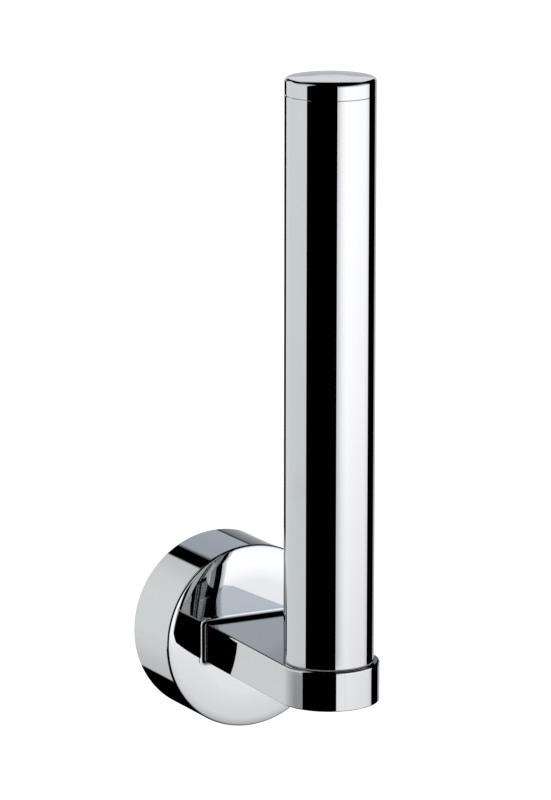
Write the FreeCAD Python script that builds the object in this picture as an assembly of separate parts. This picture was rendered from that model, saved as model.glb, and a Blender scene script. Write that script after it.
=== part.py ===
import FreeCAD, Part
import math
import os

# A wall holder for spare toilet rolls, in millimetres.
# The wall is the plane Y = 0 and the front of the holder looks along -Y.
# The origin is the middle of the round rosette's back, +Z is up and +X is to the right.

# Rosette cover, a deep round shell with a softly bowed face
rosette_radius = 34.9
rosette_depth = 28.2
cover_wall = 2.0
face_wall = 1.8
face_flat_radius = 21.5
face_bow_radius = 175.0
face_bow_margin = 3.4
face_turn_radius = 22.0
face_rim_margin = 0.8

# Wall plate, a dished disc that stays on the wall, inside the cover's clamp ring
plate_depth = 13.0
plate_floor = 3.5
plate_rim_wall = 3.0
plate_lead_in = 0.8
pad_thickness = 0.8
pad_margin = 1.2
wall_hole_radius = 2.6
wall_hole_spacing = 36.0
pad_hole_margin = 1.2

# Clamp ring, set in the cover and slid over the wall plate
ring_wall = 3.77
ring_setback = 1.0
ring_past_plate = 1.0

# Set screw that grips the wall plate from below
set_screw_radius = 2.5
set_screw_depth = 7.5
set_screw_inset = 0.9
set_screw_tip_gap = 0.3
set_screw_socket_flats = 2.5
set_screw_socket_depth = 2.0
set_screw_chamfer = 0.5
cover_screw_margin = 0.4

# Post tube
post_reach = 88.5
post_height = 214.2
tube_radius = 16.5
tube_wall = 1.0
seam_chamfer = 0.2
foot_chamfer = 0.4

# Cap on top of the tube
cap_height = 6.25
cap_flat_radius = 6.0
cap_bow_radius = 200.0
cap_rim_margin = 1.3
cap_top_wall = 2.0
cap_skirt_length = 9.0
cap_skirt_wall = 2.4
seal_ring_thickness = 1.5
seal_ring_squeeze_share = 0.86
seal_ring_place_share = 0.5

# Arm with the round collar that carries the tube, a little higher and wider at the wall than at the collar
arm_top = 5.5
collar_thickness = 14.7
collar_radius = 18.6
arm_rise = 1.95
arm_root_spread = 1.2
arm_bend_radius = 60.0
arm_top_round = 0.8
arm_bottom_round = 0.4
flare_radius = 1.8
foot_pad = 0.3
foot_pad_margin = 0.3

# Screws, washers and plate that hold the arm to the cover
arm_screw_radius = 2.4
arm_screw_spacing = 22.0
arm_screw_bite = 12.0
arm_screw_hole_spare = 2.0
arm_screw_height = -1.0
arm_screw_head_radius = 4.2
arm_screw_head_height = 4.0
arm_screw_socket_flats = 4.0
washer_radius = 4.8
washer_thickness = 0.8
backing_thickness = 2.5
backing_margin = 2.2

# Seat ring, foot plug, pin and screw that hold the tube on the collar
seat_sink = 0.6
seat_ring_thickness = 0.65
seat_ring_inset = 0.35
seat_ring_width = 2.6
plug_height = 15.0
post_screw_radius = 3.0
post_screw_bite = 11.0
post_screw_hole_spare = 2.0
post_screw_head_radius = 5.0
post_screw_head_height = 4.5
post_screw_socket_flats = 5.0
spring_washer_thickness = 1.4
spring_washer_radius = 5.0
spring_washer_slit = 0.8
pin_radius = 1.5
pin_length = 10.0
pin_inset = 3.5
pin_hole_spare = 0.5

# Round cover that closes the screw hole under the collar
underside_cover_radius = 7.5
underside_cover_thickness = 1.5
underside_cover_clear = 0.4
underside_cover_inset = 0.3

# Clearances, radial unless they say otherwise
slide_gap = 0.08
seat_gap = 0.05
screw_gap = 0.05
through_gap = 0.3
overrun = 2.0

# Depth of a socket as a share of its screw head's height
socket_depth_share = 0.55

full_turn = 360.0
hex_sides = 6
toward_front = FreeCAD.Vector(0, -1, 0)
upward = FreeCAD.Vector(0, 0, 1)
across = FreeCAD.Vector(1, 0, 0)
origin = FreeCAD.Vector(0, 0, 0)
post_foot = FreeCAD.Vector(0, -post_reach, 0)


def bow_arcs(height, flat_radius, bows, outer_radius):
    """The arcs of a softly bowed round face, from the edge of its flat middle to its side.

    Each bow is a bend radius and the distance from the outer radius at which it ends. One round fills the rest.
    Returns each arc's centre, bend radius and lean at both ends, and the height at which the side starts.
    """
    arcs = []
    radius = flat_radius
    lean = 0.0
    for bend, margin in bows:
        centre_radius = radius - bend * math.sin(lean)
        centre_height = height - bend * math.cos(lean)
        radius = outer_radius - margin
        end_lean = math.asin((radius - centre_radius) / bend)
        arcs.append((centre_radius, centre_height, bend, lean, end_lean))
        lean = end_lean
        height = centre_height + bend * math.cos(lean)
    edge_round = (outer_radius - radius) / (1.0 - math.sin(lean))
    side_height = height - edge_round * math.cos(lean)
    arcs.append((outer_radius - edge_round, side_height, edge_round, lean, math.pi / 2.0))
    return arcs, side_height


# Heights and depths that follow from the sizes above
arm_run = post_reach - rosette_depth
collar_bottom = arm_top - collar_thickness
arm_root_bottom = collar_bottom + arm_rise
arm_root_top = arm_top + arm_rise
arm_root_half_width = collar_radius + arm_root_spread
arm_taper = (math.acos(collar_radius / math.hypot(arm_root_half_width, arm_run))
             - math.atan2(arm_run, arm_root_half_width))
collar_turn = collar_radius * math.sin(arm_taper)
rise_run = arm_run + collar_turn
arm_lean = (math.atan2(rise_run, arm_bend_radius - arm_rise)
            - math.acos(arm_bend_radius / math.hypot(rise_run, arm_bend_radius - arm_rise)))
seat_level = arm_top - seat_sink
cover_bore_radius = rosette_radius - cover_wall
face_arcs, rim_depth = bow_arcs(
    rosette_depth, face_flat_radius, [(face_bow_radius, face_bow_margin), (face_turn_radius, face_rim_margin)],
    rosette_radius)
inner_face_depth = rim_depth - face_wall
backing_back = inner_face_depth - backing_thickness
washer_back = backing_back - washer_thickness
arm_screw_head_back = washer_back - arm_screw_head_height
ring_outer_radius = cover_bore_radius - seat_gap
ring_bore_radius = ring_outer_radius - ring_wall
plate_radius = ring_bore_radius - slide_gap
plate_bore_radius = plate_radius - plate_rim_wall
floor_front = pad_thickness + plate_floor
ring_front = plate_depth + ring_past_plate
set_screw_tip = plate_radius + set_screw_tip_gap
set_screw_end = rosette_radius - set_screw_inset
tube_bore_radius = tube_radius - tube_wall
tube_foot = seat_level + seat_ring_thickness
post_top = arm_top + post_height
seam_height = post_top - cap_height
plug_radius = tube_bore_radius - seat_gap
plug_top = seat_level + plug_height
seat_ring_outer = tube_radius - seat_ring_inset
seat_ring_bore = seat_ring_outer - seat_ring_width
pin_place_radius = seat_ring_bore - seat_gap - pin_inset
underside_cover_low = collar_bottom + underside_cover_inset
recess_top = (underside_cover_low + underside_cover_thickness + underside_cover_clear
              + post_screw_head_height + spring_washer_thickness)


def point(radius, depth):
    """A place on the half section of a piece turned about the rosette's axis."""
    return FreeCAD.Vector(radius, -depth, 0)


def level(radius, height):
    """A place on the half section of a piece turned about the post's axis."""
    return FreeCAD.Vector(radius, 0, height)


def outline(points):
    """Straight edges from point to point, closed."""
    return Part.Wire(Part.makePolygon(points + [points[0]]).Edges)


def turned(wire, axis):
    """A solid of revolution about an axis through the origin."""
    return Part.Face(wire).revolve(origin, axis, full_turn)


def turned_on_post(points):
    """A solid of revolution about the post's axis, from straight edges."""
    solid = turned(outline(points), upward)
    solid.translate(post_foot)
    return solid


def rod(radius, start, end):
    """A round bar from one place to another."""
    run = end.sub(start)
    return Part.makeCylinder(radius, run.Length, start, run)


def tube(outer, inner, start, end):
    """A round bar with a hole along it."""
    return rod(outer, start, end).cut(rod(inner, start, end))


def hex_bar(flats, start, end):
    """A six sided bar, measured across its flats."""
    run = end.sub(start)
    corner = flats / (2.0 * math.cos(math.pi / hex_sides))
    side = across if abs(run.dot(across)) < run.Length / 2.0 else upward
    turn = full_turn / hex_sides
    corners = []
    for count in range(hex_sides):
        arm_out = FreeCAD.Vector(side).multiply(corner)
        spin = FreeCAD.Rotation(run, turn * count)
        corners.append(start.add(spin.multVec(arm_out)))
    return Part.Face(outline(corners)).extrude(run)


def bowed_face(height, flat_radius, arcs, place):
    """The edges of a bowed face from its middle to its side, with place(radius, height) giving each point."""
    edges = [Part.LineSegment(place(0, height), place(flat_radius, height)).toShape()]
    for centre_radius, centre_height, bend, start, end in arcs:
        ends = []
        for lean in (start, (start + end) / 2.0, end):
            ends.append(place(centre_radius + bend * math.sin(lean), centre_height + bend * math.cos(lean)))
        edges.append(Part.Arc(*ends).toShape())
    return edges


def edges_at(shape, test):
    """The edges of a shape whose middle place passes a test."""
    found = []
    for edge in shape.Edges:
        middle = edge.valueAt((edge.FirstParameter + edge.LastParameter) / 2.0)
        if test(middle):
            found.append(edge)
    return found


def arm_screw_places():
    """The two screw axes in the arm's root, on the plane of the wall."""
    half = arm_screw_spacing / 2.0
    return [FreeCAD.Vector(-half, 0, arm_screw_height), FreeCAD.Vector(half, 0, arm_screw_height)]


def wall_hole_places():
    """The two screw axes of the wall plate, on the plane of the wall."""
    half = wall_hole_spacing / 2.0
    return [FreeCAD.Vector(-half, 0, 0), FreeCAD.Vector(half, 0, 0)]


def at_depth(place, depth):
    """A place on the wall's plane, moved out to a depth."""
    return FreeCAD.Vector(place.x, -depth, place.z)


def on_post(height):
    """A place on the post's axis."""
    return FreeCAD.Vector(0, -post_reach, height)


def make_rosette_cover():
    inside = Part.makePolygon([
        point(rosette_radius, rim_depth),
        point(rosette_radius, 0),
        point(cover_bore_radius, 0),
        point(cover_bore_radius, inner_face_depth),
        point(0, inner_face_depth),
        point(0, rosette_depth),
    ])
    wire = Part.Wire(bowed_face(rosette_depth, face_flat_radius, face_arcs, point) + inside.Edges)
    cover = turned(wire, toward_front)
    for place in arm_screw_places():
        start = at_depth(place, inner_face_depth - overrun)
        end = at_depth(place, rosette_depth + overrun)
        cover = cover.cut(rod(arm_screw_radius + through_gap, start, end))
    hole_top = FreeCAD.Vector(0, -set_screw_depth, -ring_bore_radius)
    hole_end = FreeCAD.Vector(0, -set_screw_depth, -rosette_radius - overrun)
    return cover.cut(rod(set_screw_radius + cover_screw_margin, hole_top, hole_end))


def make_wall_pad():
    pad = rod(plate_radius - pad_margin, origin, at_depth(origin, pad_thickness))
    for place in wall_hole_places():
        start = at_depth(place, -overrun)
        end = at_depth(place, pad_thickness + overrun)
        pad = pad.cut(rod(wall_hole_radius + pad_hole_margin, start, end))
    return pad


def make_wall_plate():
    plate = turned(outline([
        point(0, pad_thickness),
        point(plate_radius, pad_thickness),
        point(plate_radius, plate_depth - plate_lead_in),
        point(plate_radius - plate_lead_in, plate_depth),
        point(plate_bore_radius, plate_depth),
        point(plate_bore_radius, floor_front),
        point(0, floor_front),
    ]), toward_front)
    for place in wall_hole_places():
        start = at_depth(place, pad_thickness - overrun)
        end = at_depth(place, floor_front + overrun)
        plate = plate.cut(rod(wall_hole_radius, start, end))
    return plate


def make_clamp_ring():
    ring = tube(ring_outer_radius, ring_bore_radius, at_depth(origin, ring_setback), at_depth(origin, ring_front))
    hole_top = FreeCAD.Vector(0, -set_screw_depth, -plate_radius + overrun)
    hole_end = FreeCAD.Vector(0, -set_screw_depth, -rosette_radius)
    return ring.cut(rod(set_screw_radius + screw_gap, hole_top, hole_end))


def make_set_screw():
    length = set_screw_end - set_screw_tip
    screw = turned(outline([
        level(0, 0),
        level(set_screw_radius - set_screw_chamfer, 0),
        level(set_screw_radius, set_screw_chamfer),
        level(set_screw_radius, length - set_screw_chamfer),
        level(set_screw_radius - set_screw_chamfer, length),
        level(0, length),
    ]), upward)
    screw.translate(FreeCAD.Vector(0, -set_screw_depth, -set_screw_end))
    socket_start = FreeCAD.Vector(0, -set_screw_depth, -set_screw_end - overrun)
    socket_end = FreeCAD.Vector(0, -set_screw_depth, -set_screw_end + set_screw_socket_depth)
    return screw.cut(hex_bar(set_screw_socket_flats, socket_start, socket_end))


def make_arm_backing_plate():
    back = backing_back
    half_height = washer_radius + backing_margin
    left, right = arm_screw_places()
    bar = rod(half_height, at_depth(left, back), at_depth(left, inner_face_depth))
    bar = bar.fuse(rod(half_height, at_depth(right, back), at_depth(right, inner_face_depth)))
    corner = FreeCAD.Vector(left.x, -inner_face_depth, left.z - half_height)
    middle = Part.makeBox(arm_screw_spacing, backing_thickness, 2.0 * half_height, corner)
    plate = bar.fuse(middle).removeSplitter()
    for place in arm_screw_places():
        start = at_depth(place, back - overrun)
        end = at_depth(place, inner_face_depth + overrun)
        plate = plate.cut(rod(arm_screw_radius + through_gap, start, end))
    return plate


def make_arm_washers():
    rings = []
    for place in arm_screw_places():
        start = at_depth(place, washer_back)
        end = at_depth(place, backing_back)
        rings.append(tube(washer_radius, arm_screw_radius + through_gap, start, end))
    return Part.makeCompound(rings)


def socket_screw(radius, head_radius, head_height, flats, head_back, head_face, tip):
    """A cap screw with a hex socket, from the back of its head to its tip."""
    run = head_face.sub(head_back).normalize()
    screw = rod(head_radius, head_back, head_face).fuse(rod(radius, head_face, tip))
    socket_start = head_back.sub(FreeCAD.Vector(run).multiply(overrun))
    socket_end = head_back.add(FreeCAD.Vector(run).multiply(head_height * socket_depth_share))
    return screw.cut(hex_bar(flats, socket_start, socket_end))


def make_arm_screws():
    screws = []
    for place in arm_screw_places():
        screws.append(socket_screw(
            arm_screw_radius, arm_screw_head_radius, arm_screw_head_height, arm_screw_socket_flats,
            at_depth(place, arm_screw_head_back), at_depth(place, washer_back),
            at_depth(place, rosette_depth + arm_screw_bite)))
    return Part.makeCompound(screws)


def arm_line(x, height):
    """The arm's top or bottom seen from the side: level under the tube, an easy bend, then a straight rise."""
    bend_start = -post_reach - collar_turn
    places = [FreeCAD.Vector(x, bend_start - collar_radius, height)]
    for lean in (0, arm_lean / 2.0, arm_lean):
        rise = arm_bend_radius * (1.0 - math.cos(lean))
        places.append(FreeCAD.Vector(x, bend_start + arm_bend_radius * math.sin(lean), height + rise))
    places.append(FreeCAD.Vector(x, overrun - rosette_depth, height + arm_rise + overrun * math.tan(arm_lean)))
    return places


def arm_side(x):
    """The arm's outline seen from the side, as a face."""
    edges = []
    top, bottom = arm_line(x, arm_top), arm_line(x, collar_bottom)
    for places in (top, bottom):
        edges.append(Part.LineSegment(places[0], places[1]).toShape())
        edges.append(Part.Arc(places[1], places[2], places[3]).toShape())
        edges.append(Part.LineSegment(places[3], places[4]).toShape())
    edges.append(Part.LineSegment(top[0], bottom[0]).toShape())
    edges.append(Part.LineSegment(top[4], bottom[4]).toShape())
    return Part.Face(Part.Wire(Part.__sortEdges__(edges)))


def arm_blank():
    """The arm and its collar as one flat bar with tangent sides, level under the tube and then rising to the wall."""
    low = collar_bottom - overrun
    root = overrun - rosette_depth
    root_x = arm_root_half_width + overrun * math.tan(arm_taper)
    turn_x = collar_radius * math.cos(arm_taper)
    turn_y = -post_reach - collar_turn
    left_root = FreeCAD.Vector(-root_x, root, low)
    left_turn = FreeCAD.Vector(-turn_x, turn_y, low)
    nose = FreeCAD.Vector(0, -post_reach - collar_radius, low)
    right_turn = FreeCAD.Vector(turn_x, turn_y, low)
    right_root = FreeCAD.Vector(root_x, root, low)
    plan = Part.Wire([
        Part.LineSegment(left_root, left_turn).toShape(),
        Part.Arc(left_turn, nose, right_turn).toShape(),
        Part.LineSegment(right_turn, right_root).toShape(),
        Part.LineSegment(right_root, left_root).toShape(),
    ])
    column = Part.Face(plan).extrude(FreeCAD.Vector(0, 0, collar_thickness + arm_rise + 3.0 * overrun))
    half = root_x + overrun
    bar = column.common(arm_side(-half).extrude(FreeCAD.Vector(2.0 * half, 0, 0)))
    near = arm_bottom_round / 2.0
    nose_y = -post_reach - collar_radius + near

    def on_outline(place):
        """Whether a place lies on the arm's side or nose, and not on a bend line or the root."""
        return place.y < root - near and (abs(place.x) > near or place.y < nose_y)

    bar = bar.makeFillet(arm_top_round, edges_at(bar, lambda p: on_outline(p) and p.z > arm_top - near))
    bar = bar.makeFillet(arm_bottom_round, edges_at(
        bar, lambda p: on_outline(p) and p.z < collar_bottom + arm_rise + near))
    corner = FreeCAD.Vector(-half, -rosette_depth, arm_root_bottom - overrun)
    height = arm_root_top - arm_root_bottom + 2.0 * overrun
    return bar.cut(Part.makeBox(2.0 * half, 2.0 * overrun, height, corner))


def foot_block():
    """The flat pad at the arm's root that seats on the cover's face."""
    spread = flare_radius + foot_pad_margin
    half_width = arm_root_half_width + spread
    low = arm_root_bottom - spread
    high = arm_root_top + spread
    corner = FreeCAD.Vector(-half_width, -rosette_depth - foot_pad, low)
    block = Part.makeBox(2.0 * half_width, foot_pad, high - low, corner)
    corner_x = half_width - foot_pad
    return block.makeFillet(arm_top_round + spread, edges_at(
        block, lambda p: abs(p.x) > corner_x and abs(p.y + rosette_depth) > 0
        and (p.z > high - foot_pad / 2.0 or p.z < low + foot_pad / 2.0)))


def make_arm():
    near = arm_bottom_round / 2.0
    pad_face = -rosette_depth - foot_pad
    reach_x = arm_root_half_width + near
    arm = arm_blank().fuse(foot_block())
    arm = arm.makeFillet(flare_radius, edges_at(
        arm, lambda p: abs(p.y - pad_face) < near / 2.0 and abs(p.x) < reach_x
        and arm_root_bottom - near < p.z < arm_root_top + near))
    for place in arm_screw_places():
        start = at_depth(place, rosette_depth - overrun)
        end = at_depth(place, rosette_depth + arm_screw_bite + arm_screw_hole_spare)
        arm = arm.cut(rod(arm_screw_radius + screw_gap, start, end))
    arm = arm.cut(rod(tube_radius + seat_gap, on_post(seat_level), on_post(arm_root_top)))
    arm = arm.cut(rod(underside_cover_radius, on_post(collar_bottom - overrun), on_post(recess_top)))
    arm = arm.cut(rod(post_screw_radius + through_gap, on_post(recess_top - overrun), on_post(arm_top + overrun)))
    return arm.cut(rod(pin_radius + screw_gap, pin_place(seat_level - pin_length / 2.0 - pin_hole_spare),
                       pin_place(arm_top + overrun)))


def pin_place(height):
    """A place on the axis of the pin that stops the tube from turning."""
    return FreeCAD.Vector(pin_place_radius, -post_reach, height)


def make_tube_seat_ring():
    return tube(seat_ring_outer, seat_ring_bore, on_post(seat_level), on_post(tube_foot))


def make_post_tube():
    sleeve = turned_on_post([
        level(tube_bore_radius, tube_foot),
        level(tube_radius - foot_chamfer, tube_foot),
        level(tube_radius, tube_foot + foot_chamfer),
        level(tube_radius, seam_height - seam_chamfer),
        level(tube_radius - seam_chamfer, seam_height),
        level(tube_bore_radius, seam_height),
    ])
    return sleeve


def make_foot_plug():
    plug = turned_on_post([
        level(0, seat_level),
        level(seat_ring_bore - seat_gap, seat_level),
        level(seat_ring_bore - seat_gap, tube_foot),
        level(plug_radius, tube_foot),
        level(plug_radius, plug_top),
        level(0, plug_top),
    ])
    thread_end = seat_level + post_screw_bite + post_screw_hole_spare
    plug = plug.cut(rod(post_screw_radius + screw_gap, on_post(seat_level - overrun), on_post(thread_end)))
    pin_end = seat_level + pin_length / 2.0 + pin_hole_spare
    return plug.cut(rod(pin_radius + screw_gap, pin_place(seat_level - overrun), pin_place(pin_end)))


def make_turn_stop_pin():
    half = pin_length / 2.0
    return rod(pin_radius, pin_place(seat_level - half), pin_place(seat_level + half))


def make_post_screw():
    head_face = recess_top - spring_washer_thickness
    return socket_screw(
        post_screw_radius, post_screw_head_radius, post_screw_head_height, post_screw_socket_flats,
        on_post(head_face - post_screw_head_height), on_post(head_face), on_post(seat_level + post_screw_bite))


def make_spring_washer():
    washer = tube(spring_washer_radius, post_screw_radius + through_gap,
                  on_post(recess_top - spring_washer_thickness), on_post(recess_top))
    corner = on_post(recess_top - spring_washer_thickness - overrun)
    corner = corner.sub(FreeCAD.Vector(spring_washer_slit / 2.0, 0, 0))
    slit = Part.makeBox(spring_washer_slit, spring_washer_radius + overrun,
                        spring_washer_thickness + 2.0 * overrun, corner)
    return washer.cut(slit)


def make_underside_cover():
    return rod(underside_cover_radius - seat_gap, on_post(underside_cover_low),
               on_post(underside_cover_low + underside_cover_thickness))


def cap_groove():
    """The lower and upper end of the groove in the cap's skirt."""
    middle = seam_height - cap_skirt_length * seal_ring_place_share
    half = seal_ring_thickness / 2.0 + seat_gap
    return middle - half, middle + half


def make_end_cap():
    skirt_radius = tube_bore_radius - seat_gap
    skirt_bore = skirt_radius - cap_skirt_wall
    skirt_end = seam_height - cap_skirt_length
    groove_low, groove_high = cap_groove()
    groove_floor = tube_bore_radius - 2.0 * seat_gap - seal_ring_thickness * seal_ring_squeeze_share
    arcs, side_height = bow_arcs(post_top, cap_flat_radius, [(cap_bow_radius, cap_rim_margin)], tube_radius)
    inside = Part.makePolygon([
        level(tube_radius, side_height),
        level(tube_radius, seam_height + seam_chamfer),
        level(tube_radius - seam_chamfer, seam_height),
        level(skirt_radius, seam_height),
        level(skirt_radius, groove_high),
        level(groove_floor, groove_high),
        level(groove_floor, groove_low),
        level(skirt_radius, groove_low),
        level(skirt_radius, skirt_end),
        level(skirt_bore, skirt_end),
        level(skirt_bore, post_top - cap_top_wall),
        level(0, post_top - cap_top_wall),
        level(0, post_top),
    ])
    cap = turned(Part.Wire(bowed_face(post_top, cap_flat_radius, arcs, level) + inside.Edges), upward)
    cap.translate(post_foot)
    return cap


def make_cap_seal_ring():
    groove_low, groove_high = cap_groove()
    outer = tube_bore_radius - seat_gap
    floor = tube_bore_radius - seat_gap - seal_ring_thickness * seal_ring_squeeze_share
    half_height = seal_ring_thickness / 2.0
    middle = (groove_low + groove_high) / 2.0
    half_width = (outer - floor) / 2.0
    centre = level((outer + floor) / 2.0, middle)
    oval = Part.Ellipse(centre.add(level(0, half_height)), centre.add(level(half_width, 0)), centre)
    ring = turned(Part.Wire([oval.toShape()]), upward)
    ring.translate(post_foot)
    return ring


nodes = {
    "wall_pad": make_wall_pad,
    "wall_plate": make_wall_plate,
    "clamp_ring": make_clamp_ring,
    "set_screw": make_set_screw,
    "rosette_cover": make_rosette_cover,
    "arm_backing_plate": make_arm_backing_plate,
    "arm_washers": make_arm_washers,
    "arm_screws": make_arm_screws,
    "arm": make_arm,
    "tube_seat_ring": make_tube_seat_ring,
    "post_tube": make_post_tube,
    "foot_plug": make_foot_plug,
    "turn_stop_pin": make_turn_stop_pin,
    "post_screw": make_post_screw,
    "spring_washer": make_spring_washer,
    "underside_cover": make_underside_cover,
    "end_cap": make_end_cap,
    "cap_seal_ring": make_cap_seal_ring,
}

os.makedirs("parts", exist_ok=True)
for name, make in nodes.items():
    shape = make()
    print(name, shape.isValid(), len(shape.Solids), round(shape.Volume, 2))
    shape.exportStep("parts/" + name + ".step")
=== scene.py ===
import math

import bmesh
import bpy
from mathutils import Matrix, Vector


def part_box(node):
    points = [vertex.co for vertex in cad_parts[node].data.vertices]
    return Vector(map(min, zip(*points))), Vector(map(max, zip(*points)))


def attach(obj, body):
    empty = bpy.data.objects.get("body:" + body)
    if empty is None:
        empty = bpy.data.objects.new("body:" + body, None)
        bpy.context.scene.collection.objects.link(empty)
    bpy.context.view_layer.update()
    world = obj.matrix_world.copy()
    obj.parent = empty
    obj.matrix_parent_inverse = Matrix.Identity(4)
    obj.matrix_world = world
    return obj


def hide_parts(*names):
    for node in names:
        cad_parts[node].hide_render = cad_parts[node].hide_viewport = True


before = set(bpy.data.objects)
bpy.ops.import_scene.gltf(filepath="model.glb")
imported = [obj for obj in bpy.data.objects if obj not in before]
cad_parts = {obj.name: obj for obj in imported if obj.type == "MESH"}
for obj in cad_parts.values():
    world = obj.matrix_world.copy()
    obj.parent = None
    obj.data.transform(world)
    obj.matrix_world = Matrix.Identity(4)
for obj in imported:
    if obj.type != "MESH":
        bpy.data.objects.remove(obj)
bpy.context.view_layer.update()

MM = 0.001

# Places and sizes read from the frame's nodes.
COVER_LOW, COVER_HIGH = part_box("rosette_cover")
ROSETTE_RADIUS = (COVER_HIGH.x - COVER_LOW.x) / 2
ROSETTE_DEPTH = -COVER_LOW.y
TUBE_LOW, TUBE_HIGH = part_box("post_tube")
TUBE_RADIUS = (TUBE_HIGH.x - TUBE_LOW.x) / 2
POST_REACH = -(TUBE_LOW.y + TUBE_HIGH.y) / 2
TUBE_FOOT = TUBE_LOW.z
SEAM_HEIGHT = TUBE_HIGH.z
CAP_LOW, CAP_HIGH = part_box("end_cap")
POST_TOP = CAP_HIGH.z
SEAT_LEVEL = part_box("tube_seat_ring")[0].z
RECESS_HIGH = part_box("underside_cover")[1]
SET_SCREW_LOW, SET_SCREW_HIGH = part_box("set_screw")
SET_SCREW_DEPTH = -(SET_SCREW_LOW.y + SET_SCREW_HIGH.y) / 2

# Sizes that a node's box can't tell. A bow is its bend radius, and how far from the side it ends.
COVER_WALL = 2.0 * MM
COVER_BACK_ROUND = 0.25 * MM
FACE_WALL = 1.8 * MM
FACE_FLAT_RADIUS = 21.5 * MM
FACE_BOWS = [(175.0 * MM, 3.4 * MM), (22.0 * MM, 0.8 * MM)]
CAP_FLAT_RADIUS = 6.0 * MM
CAP_BOWS = [(200.0 * MM, 1.3 * MM)]
SEAM_CHAMFER = 0.2 * MM
FOOT_CHAMFER = 0.4 * MM
TUBE_WALL = 1.0 * MM
SOCKET_DEPTH = 0.6 * MM
COLLAR_RADIUS = 18.6 * MM
COLLAR_THICKNESS = 14.7 * MM
ARM_RISE = 1.95 * MM
ARM_ROOT_SPREAD = 1.2 * MM
ARM_BEND_RADIUS = 60.0 * MM
ARM_TOP_ROUND = 0.8 * MM
ARM_BOTTOM_ROUND = 0.4 * MM
FLARE_RADIUS = 1.8 * MM
FOOT_PAD = 0.3 * MM
FOOT_MARGIN = 0.3 * MM
FIT = 0.05 * MM
RECESS_CLEAR = 6.0 * MM
KEY_HOLE_RADIUS = 2.9 * MM

# The arm's sides leave the collar as tangents and spread to the root. Its top and underside run level past
# the post, then bend upwards and run straight to the root.
ARM_TOP = SEAT_LEVEL + SOCKET_DEPTH
COLLAR_BOTTOM = ARM_TOP - COLLAR_THICKNESS
ARM_RUN = POST_REACH - ROSETTE_DEPTH
ARM_ROOT_HALF = COLLAR_RADIUS + ARM_ROOT_SPREAD
ARM_TAPER = (math.acos(COLLAR_RADIUS / math.hypot(ARM_ROOT_HALF, ARM_RUN))
             - math.atan2(ARM_RUN, ARM_ROOT_HALF))
COLLAR_TURN = COLLAR_RADIUS * math.sin(ARM_TAPER)
RISE_RUN = ARM_RUN + COLLAR_TURN
ARM_LEAN = (math.atan2(RISE_RUN, ARM_BEND_RADIUS - ARM_RISE)
            - math.acos(ARM_BEND_RADIUS / math.hypot(RISE_RUN, ARM_BEND_RADIUS - ARM_RISE)))

# How finely round shapes are drawn, how close supporting points lie to an edge, how close points are welded,
# and the turn between faces that makes an edge sharp.
TURN_STEPS = 256
ARC_STEPS = 12
BOW_STEPS = 32
RIM_STEPS = 16
BACK_STEPS = 6
FLARE_STEPS = 16
BEND_STEPS = 8
COLLAR_STEPS = 128
BORE_STEPS = 128
SUPPORT = 0.04 * MM
WELD_DISTANCE = 0.0001 * MM
SHARP_TURN = math.radians(32)


def arc(centre, radius, start, end, steps=ARC_STEPS):
    """Points on an arc, from one angle to another in degrees."""
    points = []
    for step in range(steps + 1):
        angle = math.radians(start + (end - start) * step / steps)
        points.append((centre[0] + radius * math.cos(angle), centre[1] + radius * math.sin(angle)))
    return points


def supported(points):
    """The same outline with a point close to each end of every long run, so that flat faces look flat."""
    result = []
    count = len(points)
    for index in range(count):
        here = Vector(points[index])
        there = Vector(points[(index + 1) % count])
        run = there - here
        result.append(tuple(here))
        if run.length > 4 * SUPPORT:
            result.append(tuple(here + run.normalized() * SUPPORT))
            result.append(tuple(there - run.normalized() * SUPPORT))
    return result


def in_scene(name, data):
    """A new object in the scene, with its mesh or camera."""
    thing = bpy.data.objects.new(name, data)
    bpy.context.scene.collection.objects.link(thing)
    return thing


def welded_mesh(name, verts, faces):
    """A mesh whose touching points are one, with all its faces looking outwards."""
    mesh = bpy.data.meshes.new(name)
    mesh.from_pydata(verts, [], faces)
    mesh.validate()
    work = bmesh.new()
    work.from_mesh(mesh)
    bmesh.ops.remove_doubles(work, verts=work.verts, dist=WELD_DISTANCE)
    bmesh.ops.recalc_face_normals(work, faces=work.faces)
    work.to_mesh(mesh)
    work.free()
    return mesh


def smooth(mesh):
    """Smooth shading, except across sharp edges."""
    for face in mesh.polygons:
        face.use_smooth = True
    mesh.set_sharp_from_angle(angle=SHARP_TURN)


def new_piece(name, verts, faces, body, *nodes):
    """A smooth mesh object that rides on a body and stands for the named nodes."""
    mesh = welded_mesh(name, verts, faces)
    smooth(mesh)
    piece = in_scene(name, mesh)
    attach(piece, body)
    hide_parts(*nodes)
    return piece


def lathe(outline, place, steps=TURN_STEPS):
    """Points and faces of an outline turned about an axis. place(radius, height, angle) gives a point."""
    count = len(outline)
    verts = []
    for step in range(steps):
        angle = 2 * math.pi * step / steps
        for radius, height in outline:
            verts.append(place(radius, height, angle))
    faces = []
    for step in range(steps):
        after = (step + 1) % steps
        for index in range(count):
            following = (index + 1) % count
            faces.append((step * count + index, after * count + index,
                          after * count + following, step * count + following))
    return verts, faces


def about_rosette(radius, depth, angle):
    """A point about the rosette's axis, which runs out from the wall."""
    return (radius * math.cos(angle), -depth, radius * math.sin(angle))


def about_post(radius, height, angle):
    """A point about the post's upright axis."""
    return (radius * math.cos(angle), -POST_REACH + radius * math.sin(angle), height)


def about_set_screw(radius, height, angle):
    """A point about the set screw's upright axis, under the rosette."""
    return (radius * math.cos(angle), -SET_SCREW_DEPTH + radius * math.sin(angle), height)


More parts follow.
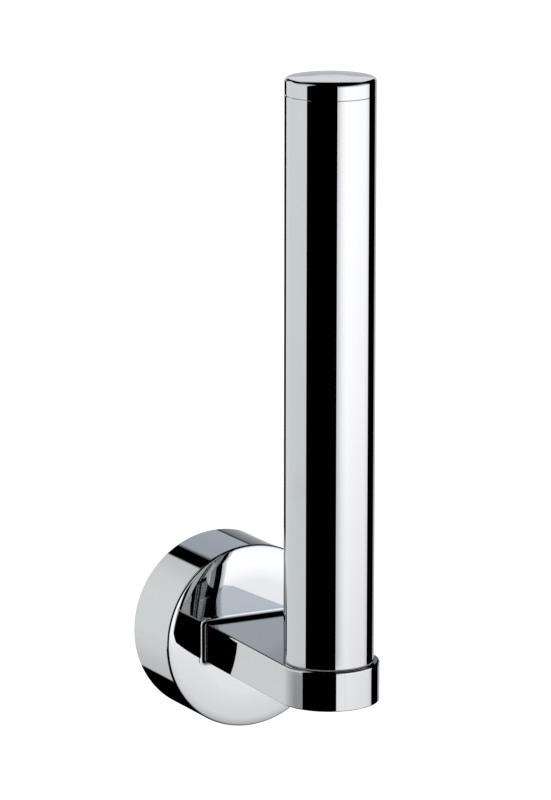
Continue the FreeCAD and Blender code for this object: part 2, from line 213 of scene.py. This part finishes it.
def bowed_face(height, flat_radius, bows, outer_radius):
    """Points of a softly bowed round face, from its middle to its side. The bows follow the flat middle, and
    one round fills the rest."""
    points = [(0.0, height)]
    radius, lean = flat_radius, 0.0
    for bend, margin in bows:
        centre = (radius - bend * math.sin(lean), height - bend * math.cos(lean))
        radius = outer_radius - margin
        after = math.asin((radius - centre[0]) / bend)
        points += arc(centre, bend, 90 - math.degrees(lean), 90 - math.degrees(after), BOW_STEPS)
        lean, height = after, centre[1] + bend * math.cos(after)
    rim = (outer_radius - radius) / (1 - math.sin(lean))
    side = height - rim * math.cos(lean)
    return points + arc((outer_radius - rim, side), rim, 90 - math.degrees(lean), 0, RIM_STEPS)


def make_rosette_cover():
    """The deep round shell against the wall, open at its back, with the key's hole underneath."""
    shape = bowed_face(ROSETTE_DEPTH, FACE_FLAT_RADIUS, FACE_BOWS, ROSETTE_RADIUS)
    inside = shape[-1][1] - FACE_WALL
    bore = ROSETTE_RADIUS - COVER_WALL
    shape += arc((ROSETTE_RADIUS - COVER_BACK_ROUND, COVER_BACK_ROUND), COVER_BACK_ROUND, 0, -90, BACK_STEPS)
    shape += [(bore, 0.0), (bore, inside), (0.0, inside)]
    verts, faces = lathe(supported(shape), about_rosette)
    piece = new_piece("rosette_cover_shell", verts, faces, "holder", "rosette_cover")
    cut_round(piece, about_set_screw, KEY_HOLE_RADIUS, -ROSETTE_RADIUS - COVER_WALL, -bore + COVER_WALL)
    return piece


def make_post_tube():
    """The plain tube, with a chamfer at its foot and one at the seam."""
    bore = TUBE_RADIUS - TUBE_WALL
    shape = [(bore, TUBE_FOOT),
             (TUBE_RADIUS - FOOT_CHAMFER, TUBE_FOOT), (TUBE_RADIUS, TUBE_FOOT + FOOT_CHAMFER),
             (TUBE_RADIUS, SEAM_HEIGHT - SEAM_CHAMFER), (TUBE_RADIUS - SEAM_CHAMFER, SEAM_HEIGHT),
             (bore, SEAM_HEIGHT)]
    verts, faces = lathe(supported(shape), about_post)
    return new_piece("post_tube_shell", verts, faces, "holder", "post_tube")


def make_end_cap():
    """The cap's bowed top and its skirt, which fits in the tube."""
    low = CAP_LOW.z
    skirt = TUBE_RADIUS - TUBE_WALL - FIT
    shape = bowed_face(POST_TOP, CAP_FLAT_RADIUS, CAP_BOWS, TUBE_RADIUS)
    shape += [(TUBE_RADIUS, SEAM_HEIGHT + SEAM_CHAMFER), (TUBE_RADIUS - SEAM_CHAMFER, SEAM_HEIGHT),
              (skirt, SEAM_HEIGHT), (skirt, low), (0.0, low)]
    verts, faces = lathe(supported(shape), about_post)
    return new_piece("end_cap_lid", verts, faces, "holder", "end_cap")


def half_section(half, spread):
    """Half of the arm's cross-section, from the middle of its top to the middle of its underside."""
    half = half + spread
    top = ARM_TOP + spread
    low = COLLAR_BOTTOM - spread
    upper = ARM_TOP_ROUND + spread
    lower = ARM_BOTTOM_ROUND + spread
    points = [(0.0, top), (half - upper - SUPPORT, top)]
    points += arc((half - upper, top - upper), upper, 90, 0)
    points += [(half, top - upper - SUPPORT), (half, low + lower + SUPPORT)]
    points += arc((half - lower, low + lower), lower, 0, -90)
    points += [(half - lower - SUPPORT, low), (0.0, low)]
    return points


def arm_rise(behind):
    """How far the arm has risen at a distance behind the post's axis: an easy bend, then a straight run."""
    past = behind + COLLAR_TURN
    if past < ARM_BEND_RADIUS * math.sin(ARM_LEAN):
        return ARM_BEND_RADIUS - math.sqrt(ARM_BEND_RADIUS ** 2 - past ** 2)
    return ARM_RISE - (ARM_RUN - behind) * math.tan(ARM_LEAN)


def arm_ring(depth, spread):
    """The arm's outline in an upright plane at a distance from the wall."""
    half_width = ARM_ROOT_HALF - (depth - ROSETTE_DEPTH) * math.tan(ARM_TAPER)
    rise = arm_rise(POST_REACH - depth)
    half = [(across, height + rise) for across, height in half_section(half_width, spread)]
    left = [(-across, -depth, height) for across, height in half]
    right = [(across, -depth, height) for across, height in reversed(half[1:-1])]
    return left + right


def make_arm():
    """The arm's rings from the wall to the collar, then its half section turned round the collar's front."""
    pad_face = ROSETTE_DEPTH + FOOT_PAD
    rings = [arm_ring(depth, FLARE_RADIUS + FOOT_MARGIN) for depth in (ROSETTE_DEPTH, pad_face)]
    for step in range(FLARE_STEPS + 1):
        angle = math.pi / 2 * step / FLARE_STEPS
        depth = pad_face + FLARE_RADIUS * (1 - math.cos(angle))
        rings.append(arm_ring(depth, FLARE_RADIUS * (1 - math.sin(angle))))
    rings.append(arm_ring(pad_face + FLARE_RADIUS + SUPPORT, 0.0))
    bend_start = POST_REACH + COLLAR_TURN
    bend_end = bend_start - ARM_BEND_RADIUS * math.sin(ARM_LEAN)
    rings.append(arm_ring(bend_end - SUPPORT, 0.0))
    for step in range(BEND_STEPS, 0, -1):
        lean = ARM_LEAN * step / BEND_STEPS
        rings.append(arm_ring(bend_start - ARM_BEND_RADIUS * math.sin(lean), 0.0))
    verts = [point for ring in rings for point in ring]
    around = len(rings[0])
    half = half_section(COLLAR_RADIUS, 0.0)
    sections = []
    for step in range(COLLAR_STEPS + 1):
        angle = math.pi + ARM_TAPER + (math.pi - 2 * ARM_TAPER) * step / COLLAR_STEPS
        first = len(verts)
        for across, height in half:
            ahead = across * math.sin(angle) if across else -COLLAR_TURN
            verts.append((across * math.cos(angle), -POST_REACH + ahead, height))
        sections.append(list(range(first, first + len(half))))
    rows = [list(range(index * around, (index + 1) * around)) for index in range(len(rings))]
    rows.append(sections[0] + sections[-1][-2:0:-1])
    faces = [tuple(rows[0])]
    for before, after in zip(rows, rows[1:]):
        for place in range(around):
            following = (place + 1) % around
            faces.append((before[place], before[following], after[following], after[place]))
    for before, after in zip(sections, sections[1:]):
        for place in range(len(half) - 1):
            faces.append((before[place], before[place + 1], after[place + 1], after[place]))
    piece = new_piece("arm_with_collar", verts, faces, "holder", "arm")
    cut_round(piece, about_post, TUBE_RADIUS + FIT, SEAT_LEVEL, ARM_TOP + ARM_RISE)
    cut_round(piece, about_post, RECESS_HIGH.x + FIT, COLLAR_BOTTOM - ARM_RISE, RECESS_HIGH.z + RECESS_CLEAR)
    return piece


def cut_round(piece, place, radius, low, high):
    """A round upright hole cut in a piece, about the axis that place(radius, height, angle) turns on."""
    outline = [(0.0, high), (radius, high), (radius, low), (0.0, low)]
    verts, faces = lathe(outline, place, BORE_STEPS)
    cutter = in_scene("cutter", welded_mesh("cutter", verts, faces))
    change = piece.modifiers.new("cut", "BOOLEAN")
    change.operation, change.solver, change.object = "DIFFERENCE", "EXACT", cutter
    result = bpy.data.meshes.new_from_object(piece.evaluated_get(bpy.context.evaluated_depsgraph_get()))
    piece.modifiers.clear()
    piece.data = result
    bpy.data.objects.remove(cutter)
    smooth(result)


# A mix node's colour sockets have names that stand for several sockets, so they go by number.
MIX_A, MIX_B, MIXED = 6, 7, 2

# A wave texture of scale 1 has this spacing between its bands, in metres.
WAVE_SPACING = math.pi / 10


def linear_light(value):
    """An sRGB value of 0 to 1, and a little over, as linear light."""
    return value / 12.92 if value <= 0.04045 else ((value + 0.055) / 1.055) ** 2.4


def linear(colour):
    """An sRGB hex colour as the linear numbers that a shader takes."""
    return (*(linear_light(int(colour[start:start + 2], 16) / 255) for start in (0, 2, 4)), 1.0)


def add(tree, kind, settings=None, links=None):
    """A node with its settings, and its inputs set or linked by name or number."""
    node = tree.nodes.new(kind)
    for key, value in (settings or {}).items():
        setattr(node, key, value)
    for key, value in (links or {}).items():
        if isinstance(value, bpy.types.NodeSocket):
            tree.links.new(value, node.inputs[key])
        else:
            node.inputs[key].default_value = value
    return node


def finish(name, colour, metallic, roughness):
    """A new material and its shader, with the values that are the same all over."""
    material = bpy.data.materials.new(name)
    material.use_nodes = True
    tree = material.node_tree
    shader = tree.nodes["Principled BSDF"]
    shader.inputs["Base Color"].default_value = linear(colour)
    shader.inputs["Metallic"].default_value = metallic
    shader.inputs["Roughness"].default_value = roughness
    return material, tree, shader


# Chrome plated on polished brass. To the eye it is a cool grey mirror. Buffing leaves slow waves about 14 mm
# long, which only just bend a long straight reflection, and a faint haze in patches of about 5 mm.
def polished_chrome_plate():
    material, tree, shader = finish("polished_chrome_plate", "C3C5C4", 1.0, 0.02)
    place = add(tree, "ShaderNodeTexCoord").outputs["Object"]
    waves = add(tree, "ShaderNodeTexNoise", links={"Vector": place, "Scale": 1 / (14 * MM), "Detail": 1.0})
    haze = add(tree, "ShaderNodeTexNoise", links={"Vector": place, "Scale": 1 / (5 * MM), "Detail": 3.0})
    gloss = add(tree, "ShaderNodeMapRange",
                links={"Value": haze.outputs["Fac"], "To Min": 0.008, "To Max": 0.03})
    bump = add(tree, "ShaderNodeBump",
               links={"Strength": 1.0, "Distance": 0.004 * MM, "Height": waves.outputs["Fac"]})
    tree.links.new(gloss.outputs["Result"], shader.inputs["Roughness"])
    tree.links.new(bump.outputs["Normal"], shader.inputs["Normal"])
    return material


# Zinc as it leaves the die. It looks dull mid grey, clouded by flow marks of about 6 mm, with a fine dry
# skin of 0.5 mm grains that keeps it from shining.
def die_cast_zinc():
    material, tree, shader = finish("die_cast_zinc", "8C8E92", 1.0, 0.45)
    place = add(tree, "ShaderNodeTexCoord").outputs["Object"]
    flow = add(tree, "ShaderNodeTexNoise",
               links={"Vector": place, "Scale": 1 / (6 * MM), "Detail": 4.0, "Distortion": 1.2})
    skin = add(tree, "ShaderNodeTexNoise", links={"Vector": place, "Scale": 1 / (0.5 * MM), "Detail": 2.0})
    clouds = add(tree, "ShaderNodeMix", {"data_type": "RGBA"},
                 {"Factor": flow.outputs["Fac"], MIX_A: linear("7F8186"), MIX_B: linear("9C9EA2")})
    gloss = add(tree, "ShaderNodeMapRange",
                links={"Value": flow.outputs["Fac"], "To Min": 0.36, "To Max": 0.56})
    bump = add(tree, "ShaderNodeBump",
               links={"Strength": 1.0, "Distance": 0.02 * MM, "Height": skin.outputs["Fac"]})
    tree.links.new(clouds.outputs[MIXED], shader.inputs["Base Color"])
    tree.links.new(gloss.outputs["Result"], shader.inputs["Roughness"])
    tree.links.new(bump.outputs["Normal"], shader.inputs["Normal"])
    return material


# Brass from the lathe. It looks warm yellow, a little browner in patches of about 7 mm, with a silky band
# of light across its turning rings. The real rings of 0.1 mm are too fine to show, so they are drawn
# 0.5 mm apart.
def turned_brass(name, turning_axis):
    material, tree, shader = finish(name, "C8A85C", 1.0, 0.25)
    place = add(tree, "ShaderNodeTexCoord").outputs["Object"]
    rings = add(tree, "ShaderNodeTexWave", {"wave_type": "RINGS", "rings_direction": turning_axis},
                {"Vector": place, "Scale": WAVE_SPACING / (0.5 * MM), "Distortion": 0.4, "Detail": 1.0})
    tarnish = add(tree, "ShaderNodeTexNoise", links={"Vector": place, "Scale": 1 / (7 * MM), "Detail": 3.0})
    patches = add(tree, "ShaderNodeMix", {"data_type": "RGBA"},
                  {"Factor": tarnish.outputs["Fac"], MIX_A: linear("B9974C"), MIX_B: linear("D3B56C")})
    gloss = add(tree, "ShaderNodeMapRange",
                links={"Value": rings.outputs["Fac"], "To Min": 0.2, "To Max": 0.36})
    bump = add(tree, "ShaderNodeBump",
               links={"Strength": 1.0, "Distance": 0.004 * MM, "Height": rings.outputs["Fac"]})
    tree.links.new(patches.outputs[MIXED], shader.inputs["Base Color"])
    tree.links.new(gloss.outputs["Result"], shader.inputs["Roughness"])
    tree.links.new(bump.outputs["Normal"], shader.inputs["Normal"])
    return material


# Steel with a blue-white zinc plate. It looks soft grey, neither mirror nor matt, clouded over about 3 mm
# where the passivation took unevenly.
def zinc_plated_steel():
    material, tree, shader = finish("zinc_plated_steel", "A9ADB3", 1.0, 0.34)
    place = add(tree, "ShaderNodeTexCoord").outputs["Object"]
    cloud = add(tree, "ShaderNodeTexNoise", links={"Vector": place, "Scale": 1 / (3 * MM), "Detail": 3.0})
    colour = add(tree, "ShaderNodeMix", {"data_type": "RGBA"},
                 {"Factor": cloud.outputs["Fac"], MIX_A: linear("9CA1AA"), MIX_B: linear("B8BABA")})
    gloss = add(tree, "ShaderNodeMapRange",
                links={"Value": cloud.outputs["Fac"], "To Min": 0.28, "To Max": 0.42})
    bump = add(tree, "ShaderNodeBump",
               links={"Strength": 1.0, "Distance": 0.004 * MM, "Height": cloud.outputs["Fac"]})
    tree.links.new(colour.outputs[MIXED], shader.inputs["Base Color"])
    tree.links.new(gloss.outputs["Result"], shader.inputs["Roughness"])
    tree.links.new(bump.outputs["Normal"], shader.inputs["Normal"])
    return material


# Steel ground between wheels. It looks bright and even, with fine marks round it that spread the light
# along its length. The real marks of 0.02 mm are too fine to show, so they are drawn 0.3 mm apart.
def ground_steel():
    material, tree, shader = finish("ground_steel", "B4B5B6", 1.0, 0.22)
    place = add(tree, "ShaderNodeTexCoord").outputs["Object"]
    marks = add(tree, "ShaderNodeTexWave", {"bands_direction": "Z"},
                {"Vector": place, "Scale": WAVE_SPACING / (0.3 * MM), "Distortion": 1.5, "Detail": 2.0})
    gloss = add(tree, "ShaderNodeMapRange",
                links={"Value": marks.outputs["Fac"], "To Min": 0.16, "To Max": 0.3})
    bump = add(tree, "ShaderNodeBump",
               links={"Strength": 1.0, "Distance": 0.002 * MM, "Height": marks.outputs["Fac"]})
    tree.links.new(gloss.outputs["Result"], shader.inputs["Roughness"])
    tree.links.new(bump.outputs["Normal"], shader.inputs["Normal"])
    return material


# Stainless steel, turned. It looks a slightly warm grey, with faint rings along its length. The real rings
# of 0.1 mm are too fine to show, so they are drawn 0.35 mm apart.
def turned_stainless_steel():
    material, tree, shader = finish("turned_stainless_steel", "A7A6A3", 1.0, 0.28)
    place = add(tree, "ShaderNodeTexCoord").outputs["Object"]
    rings = add(tree, "ShaderNodeTexWave", {"bands_direction": "Z"},
                {"Vector": place, "Scale": WAVE_SPACING / (0.35 * MM), "Distortion": 0.3, "Detail": 1.0})
    gloss = add(tree, "ShaderNodeMapRange",
                links={"Value": rings.outputs["Fac"], "To Min": 0.2, "To Max": 0.36})
    bump = add(tree, "ShaderNodeBump",
               links={"Strength": 1.0, "Distance": 0.003 * MM, "Height": rings.outputs["Fac"]})
    tree.links.new(gloss.outputs["Result"], shader.inputs["Roughness"])
    tree.links.new(bump.outputs["Normal"], shader.inputs["Normal"])
    return material


# Nylon from a spark-eroded mould. Its colour is even, and its low sheen is broken by a grain of 0.6 mm. The
# colour here follows the grain's height, darker in its hollows and lighter on its tops, which is painted
# shade and painted highlight.
def moulded_nylon(name, dark, light):
    material, tree, shader = finish(name, light, 0.0, 0.45)
    shader.inputs["IOR"].default_value = 1.53
    place = add(tree, "ShaderNodeTexCoord").outputs["Object"]
    grain = add(tree, "ShaderNodeTexNoise", links={"Vector": place, "Scale": 1 / (0.6 * MM), "Detail": 3.0})
    # Painted shade and painted highlight: the grain's hollows get the dark colour and its raised tops the
    # light one, following the bump's height.
    colour = add(tree, "ShaderNodeMix", {"data_type": "RGBA"},
                 {"Factor": grain.outputs["Fac"], MIX_A: linear(dark), MIX_B: linear(light)})
    gloss = add(tree, "ShaderNodeMapRange",
                links={"Value": grain.outputs["Fac"], "To Min": 0.38, "To Max": 0.54})
    bump = add(tree, "ShaderNodeBump",
               links={"Strength": 1.0, "Distance": 0.015 * MM, "Height": grain.outputs["Fac"]})
    tree.links.new(colour.outputs[MIXED], shader.inputs["Base Color"])
    tree.links.new(gloss.outputs["Result"], shader.inputs["Roughness"])
    tree.links.new(bump.outputs["Normal"], shader.inputs["Normal"])
    return material


# Black nitrile rubber, moulded. It is matt and nearly black, with a soft grey bloom in patches of 1.5 mm.
def moulded_rubber():
    material, tree, shader = finish("moulded_rubber", "1E1E1E", 0.0, 0.6)
    shader.inputs["IOR"].default_value = 1.52
    place = add(tree, "ShaderNodeTexCoord").outputs["Object"]
    bloom = add(tree, "ShaderNodeTexNoise", links={"Vector": place, "Scale": 1 / (1.5 * MM), "Detail": 3.0})
    colour = add(tree, "ShaderNodeMix", {"data_type": "RGBA"},
                 {"Factor": bloom.outputs["Fac"], MIX_A: linear("191919"), MIX_B: linear("2B2B2C")})
    gloss = add(tree, "ShaderNodeMapRange",
                links={"Value": bloom.outputs["Fac"], "To Min": 0.52, "To Max": 0.72})
    bump = add(tree, "ShaderNodeBump",
               links={"Strength": 1.0, "Distance": 0.01 * MM, "Height": bloom.outputs["Fac"]})
    tree.links.new(colour.outputs[MIXED], shader.inputs["Base Color"])
    tree.links.new(gloss.outputs["Result"], shader.inputs["Roughness"])
    tree.links.new(bump.outputs["Normal"], shader.inputs["Normal"])
    return material


# Closed-cell foam cut from sheet. It looks dark grey, dry and pitted. Its real cells of 0.4 mm are too fine
# to show, so they are drawn 0.7 mm across. Each cell is painted darker towards its middle, where the bump
# sinks into a pit: painted shade.
def cut_foam():
    material, tree, shader = finish("cut_closed_cell_foam", "39393A", 0.0, 0.9)
    place = add(tree, "ShaderNodeTexCoord").outputs["Object"]
    cells = add(tree, "ShaderNodeTexVoronoi", links={"Vector": place, "Scale": 1 / (0.7 * MM)})
    # Painted shade: each cell's middle, the bottom of its pit, gets the dark colour, and its rim the light
    # one.
    colour = add(tree, "ShaderNodeMix", {"data_type": "RGBA"},
                 {"Factor": cells.outputs["Distance"], MIX_A: linear("27272A"), MIX_B: linear("4A4A4B")})
    gloss = add(tree, "ShaderNodeMapRange",
                links={"Value": cells.outputs["Distance"], "To Min": 0.82, "To Max": 0.96})
    bump = add(tree, "ShaderNodeBump",
               links={"Strength": 1.0, "Distance": 0.08 * MM, "Height": cells.outputs["Distance"]})
    tree.links.new(colour.outputs[MIXED], shader.inputs["Base Color"])
    tree.links.new(gloss.outputs["Result"], shader.inputs["Roughness"])
    tree.links.new(bump.outputs["Normal"], shader.inputs["Normal"])
    return material


def dress_nodes():
    """The finishes of the nodes that stay as the frame gives them."""
    steel = zinc_plated_steel()
    finishes = {
        "wall_pad": cut_foam(),
        "wall_plate": die_cast_zinc(),
        "clamp_ring": turned_brass("turned_brass_ring", "Y"),
        "foot_plug": turned_brass("turned_brass_plug", "Z"),
        "set_screw": turned_stainless_steel(),
        "turn_stop_pin": ground_steel(),
        "arm_backing_plate": steel,
        "arm_washers": steel,
        "arm_screws": steel,
        "post_screw": steel,
        "spring_washer": steel,
        "tube_seat_ring": moulded_nylon("moulded_clear_nylon", "A9ABAB", "C4C6C6"),
        "underside_cover": moulded_nylon("moulded_grey_nylon", "8B8D8F", "999B9D"),
        "cap_seal_ring": moulded_rubber(),
    }
    for node, material in finishes.items():
        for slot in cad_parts[node].material_slots:
            slot.material = material


# The studio's panels, as the polished metal shows them. A panel is its share of full brightness by azimuth,
# its grey of 0 to 255 by elevation, and its tint. Angles are in degrees, and azimuth 0 is the front and 90
# the right. The strips hold a sharp step at elevation -15.4: the tube shows what is above it, and the collar
# what is below.
FRONT_SHARES = [(-11.8, 0), (-11.2, 0.67), (-8, 0.6), (-4, 0.76), (4, 0.91), (14, 1), (32, 0.97),
                (68, 0.92), (76, 0.83), (83.2, 0.7), (83.8, 0)]
LEFT_END_SHARES = [(-150, 0), (-112, 1), (-90.3, 1), (-89.7, 0)]
FRONT_PANEL = (
    FRONT_SHARES,
    [(-19.5, 0), (-16.5, 222), (-15.4, 228), (-12.5, 250), (-10.5, 257), (0, 252), (9, 0)],
    (1.013, 1.0, 1.045),
)
FRONT_PANEL_HIGH = (
    FRONT_SHARES,
    [(0, 0), (9, 239), (11.5, 222), (15.7, 203), (20.5, 183), (28, 162), (36, 140), (46, 0)],
    (0.935, 1.0, 1.14),
)
FRONT_PANEL_LOW = (
    [(-11.8, 0), (-11.2, 0.9), (10, 0.95), (14, 1), (44, 0.98), (83.2, 0.93), (83.8, 0)],
    [(-90, 40), (-72, 90), (-53, 135), (-34.5, 170), (-28, 193), (-25, 202), (-19.5, 214), (-16.5, 0)],
    (0.993, 1.0, 1.05),
)
FRONT_PANEL_STRIP = (
    [(-11.8, 0), (-11.2, 0.3), (-8, 0.36), (-4, 0.23), (9, 0)],
    [(-16.5, 0), (-16.4, 226), (-15.41, 226), (-15.38, 0)],
    (1.013, 1.0, 1.045),
)
LEFT_PANEL = (
    [(-173.6, 0), (-172.2, 1), (-150, 1), (-112, 0)],
    [(-33, 0), (-31, 173), (-21.5, 193), (-16, 200), (-15.2, 198), (-10.5, 203), (13, 205), (22.5, 202),
     (31, 185), (33, 0)],
    (0.976, 1.0, 1.022),
)
LEFT_PANEL_END = (
    LEFT_END_SHARES,
    [(-14.5, 0), (-13.5, 197), (-9.5, 206), (20, 205), (33, 190), (62, 190), (64, 0)],
    (0.972, 1.0, 1.035),
)
LEFT_PANEL_STRIP = (
    LEFT_END_SHARES,
    [(-17.6, 0), (-17, 115), (-16.2, 138), (-15.42, 142), (-15.39, 196), (-14.5, 197), (-13.5, 0)],
    (0.972, 1.0, 1.035),
)
BACK_RIGHT_PANEL = (
    [(117.7, 0), (118.3, 1), (139.5, 1), (140.5, 0)],
    [(-60, 155), (9, 155), (10, 0)],
    (0.93, 1.0, 1.06),
)
BACK_CARD = (
    [(139.5, 0), (140.5, 1), (159, 1), (161, 0)],
    [(-18, 0), (-16, 250), (-8, 240), (-4, 200), (0, 141), (12, 105), (14, 0)],
    (0.93, 1.0, 1.06),
)
UPPER_BACK_PANEL = (
    [(150, 0), (152, 1), (175, 1), (177, 0.35), (177.8, 0)],
    [(14, 0), (15, 153), (30, 153), (32, 0)],
    (0.904, 1.0, 1.131),
)

PANELS = [FRONT_PANEL, FRONT_PANEL_HIGH, FRONT_PANEL_LOW, FRONT_PANEL_STRIP, LEFT_PANEL, LEFT_PANEL_END,
          LEFT_PANEL_STRIP, BACK_RIGHT_PANEL, BACK_CARD, UPPER_BACK_PANEL]

# A small card behind the cap, which only the cap's top reflects, with its greys by elevation from the cap.
CAP_CARD = [(-2, 100), (3, 158), (5.5, 162), (8.85, 151), (8.95, 187), (13.1, 187), (13.4, 0), (60, 0)]
CAP_CARD_TINT = (0.98, 1.0, 1.06)
CAP_CARD_DISTANCE = 250.0 * MM
CAP_CARD_WIDTH = 280.0 * MM
CAP_CARD_AZIMUTH = 155.0

# The chrome gives back this share of a panel's light, so a panel is that much brighter than it looks in it. A
# ramp's colours end at 1, so a panel's light is halved there and doubled in its strength.
MIRROR_SHARE = 0.55
RAMP_HEADROOM = 2
PANEL_STRENGTH = RAMP_HEADROOM / MIRROR_SHARE

# The even white that lights everything else.
SOFT_WHITE = 1.3

# How far the floor reaches each way, and how far it lies below the middle of the rosette.
FLOOR_REACH = 20000.0 * MM
FLOOR_DROP = 800.0 * MM

# The camera's angles in degrees, its distance from the point that it aims at, and how far that point is from
# the origin across the view. The focal length and the height are in pixels, and the sensor in millimetres.
CAMERA_AZIMUTH = -28.11
CAMERA_ELEVATION = 12.487
CAMERA_ROLL = 0.07
CAMERA_DISTANCE = 2001.577 * MM
AIM_RIGHT = 22.216 * MM
AIM_UP = 82.796 * MM
FOCAL_PIXELS = 5289.669
PHOTO_HEIGHT = 800
SENSOR_SIZE = 36
CLIP_NEAR = 50.0 * MM
CLIP_FAR = 100000.0 * MM


def panel_light(grey, tint):
    """A panel's grey and tint as a ramp's colour."""
    return (*(linear_light(grey / 255) * part / RAMP_HEADROOM for part in tint), 1.0)


def studio():
    """Even white for the floor and the plain pieces, and panels round the mirror finish."""
    world = bpy.data.worlds.new("studio")
    bpy.context.scene.world = world
    world.use_nodes = True
    tree = world.node_tree
    tree.nodes.clear()
    place = add(tree, "ShaderNodeTexCoord").outputs["Generated"]
    axes = add(tree, "ShaderNodeSeparateXYZ", links={"Vector": place})
    front = add(tree, "ShaderNodeMath", {"operation": "MULTIPLY"}, {0: axes.outputs["Y"], 1: -1.0})
    turn = add(tree, "ShaderNodeMath", {"operation": "ARCTAN2"},
               {0: axes.outputs["X"], 1: front.outputs["Value"]})
    azimuth = add(tree, "ShaderNodeMath", {"operation": "DEGREES"}, {0: turn.outputs["Value"]})
    rise = add(tree, "ShaderNodeMath", {"operation": "ARCSINE"}, {0: axes.outputs["Z"]})
    elevation = add(tree, "ShaderNodeMath", {"operation": "DEGREES"}, {0: rise.outputs["Value"]})
    total = None
    for across, upward, tint in PANELS:
        shares = [(angle, (share, share, share, 1.0)) for angle, share in across]
        lights = [(angle, panel_light(grey, tint)) for angle, grey in upward]
        panel = add(tree, "ShaderNodeVectorMath", {"operation": "MULTIPLY"},
                    {0: profile(tree, azimuth.outputs["Value"], shares),
                     1: profile(tree, elevation.outputs["Value"], lights)})
        if total is not None:
            panel = add(tree, "ShaderNodeVectorMath", {"operation": "ADD"},
                        {0: total, 1: panel.outputs["Vector"]})
        total = panel.outputs["Vector"]
    panels = add(tree, "ShaderNodeBackground", links={"Color": total, "Strength": PANEL_STRENGTH})
    soft = add(tree, "ShaderNodeBackground", links={"Color": (1, 1, 1, 1), "Strength": SOFT_WHITE})
    path = add(tree, "ShaderNodeLightPath")
    mix = add(tree, "ShaderNodeMixShader", links={
        "Fac": path.outputs["Is Glossy Ray"], 1: soft.outputs["Background"], 2: panels.outputs["Background"]})
    add(tree, "ShaderNodeOutputWorld", links={"Surface": mix.outputs["Shader"]})


def profile(tree, measure, stops):
    """Straight runs of colour from stop to stop. The ramp spans only its stops, so its edges are sharp."""
    first, last = stops[0][0], stops[-1][0]
    place = add(tree, "ShaderNodeMapRange", links={"Value": measure, "From Min": first, "From Max": last})
    ramp = add(tree, "ShaderNodeValToRGB", links={"Fac": place.outputs["Result"]})
    elements = ramp.color_ramp.elements
    while len(elements) < len(stops):
        elements.new(1.0)
    for element, (position, colour) in zip(elements, stops):
        element.position = (position - first) / (last - first)
        element.color = colour
    return ramp.outputs["Color"]


def flat_sheet(name, corners, material):
    """A four-cornered sheet in the scene, with its material."""
    mesh = bpy.data.meshes.new(name)
    mesh.from_pydata(corners, [], [(0, 1, 2, 3)])
    mesh.materials.append(material)
    sheet = in_scene(name, mesh)
    return sheet


def cap_card():
    """The card behind the cap. Only mirror reflections see it."""
    rises = [CAP_CARD_DISTANCE * math.tan(math.radians(angle)) for angle, _ in CAP_CARD]
    material = bpy.data.materials.new("light_card")
    material.use_nodes = True
    tree = material.node_tree
    tree.nodes.clear()
    place = add(tree, "ShaderNodeTexCoord").outputs["Object"]
    axes = add(tree, "ShaderNodeSeparateXYZ", links={"Vector": place})
    lights = [(POST_TOP + rise, panel_light(grey, CAP_CARD_TINT)) for rise, (_, grey) in zip(rises, CAP_CARD)]
    glow = add(tree, "ShaderNodeEmission",
               links={"Color": profile(tree, axes.outputs["Z"], lights), "Strength": PANEL_STRENGTH})
    add(tree, "ShaderNodeOutputMaterial", links={"Surface": glow.outputs["Emission"]})
    azimuth = math.radians(CAP_CARD_AZIMUTH)
    heading = Vector((math.sin(azimuth), -math.cos(azimuth), 0))
    aside = Vector((heading.y, -heading.x, 0)) * (CAP_CARD_WIDTH / 2)
    middle = Vector((0, -POST_REACH, POST_TOP)) + heading * CAP_CARD_DISTANCE
    low, high = Vector((0, 0, rises[0])), Vector((0, 0, rises[-1]))
    corners = [middle - aside + low, middle + aside + low, middle + aside + high, middle - aside + high]
    card = flat_sheet("cap_card", corners, material)
    card.visible_camera = False
    card.visible_diffuse = False
    card.visible_shadow = False


def floor():
    """A plain pale floor below the holder."""
    material, tree, shader = finish("matt_white_floor", "F2F2F2", 0.0, 0.9)
    place = add(tree, "ShaderNodeTexCoord").outputs["Object"]
    grain = add(tree, "ShaderNodeTexNoise", links={"Vector": place, "Scale": 1 / (4 * MM)})
    colour = add(tree, "ShaderNodeMix", {"data_type": "RGBA"},
                 {"Factor": grain.outputs["Fac"], MIX_A: linear("F1F1F1"), MIX_B: linear("F3F3F3")})
    tree.links.new(colour.outputs[MIXED], shader.inputs["Base Color"])
    corners = [(FLOOR_REACH * across, FLOOR_REACH * along, -FLOOR_DROP)
               for across, along in ((-1, -1), (1, -1), (1, 1), (-1, 1))]
    sheet = flat_sheet("floor", corners, material)
    sheet.visible_glossy = False


def photo_camera():
    """The camera at the photograph's place, worked out from the outlines in it."""
    azimuth, elevation, roll = map(math.radians, (CAMERA_AZIMUTH, CAMERA_ELEVATION, CAMERA_ROLL))
    back = Vector((math.sin(azimuth) * math.cos(elevation), -math.cos(azimuth) * math.cos(elevation),
                   math.sin(elevation)))
    right = Vector((math.cos(azimuth), math.sin(azimuth), 0))
    up = back.cross(right)
    target = right * AIM_RIGHT + up * AIM_UP
    side = right * math.cos(roll) + up * math.sin(roll)
    over = up * math.cos(roll) - right * math.sin(roll)
    data = bpy.data.cameras.new("photo_camera")
    data.sensor_width = SENSOR_SIZE
    data.lens = FOCAL_PIXELS * SENSOR_SIZE / PHOTO_HEIGHT
    data.clip_start, data.clip_end = CLIP_NEAR, CLIP_FAR
    camera = in_scene("photo_camera", data)
    turned = Matrix((side, over, back)).transposed().to_4x4()
    camera.matrix_world = Matrix.Translation(target + back * CAMERA_DISTANCE) @ turned
    bpy.context.scene.camera = camera


cover = make_rosette_cover()
tube = make_post_tube()
cap = make_end_cap()
arm = make_arm()
chrome = polished_chrome_plate()
for piece in (cover, tube, cap, arm):
    piece.data.materials.append(chrome)
dress_nodes()
studio()
cap_card()
floor()
photo_camera()
bpy.context.scene.view_settings.view_transform = "Standard"
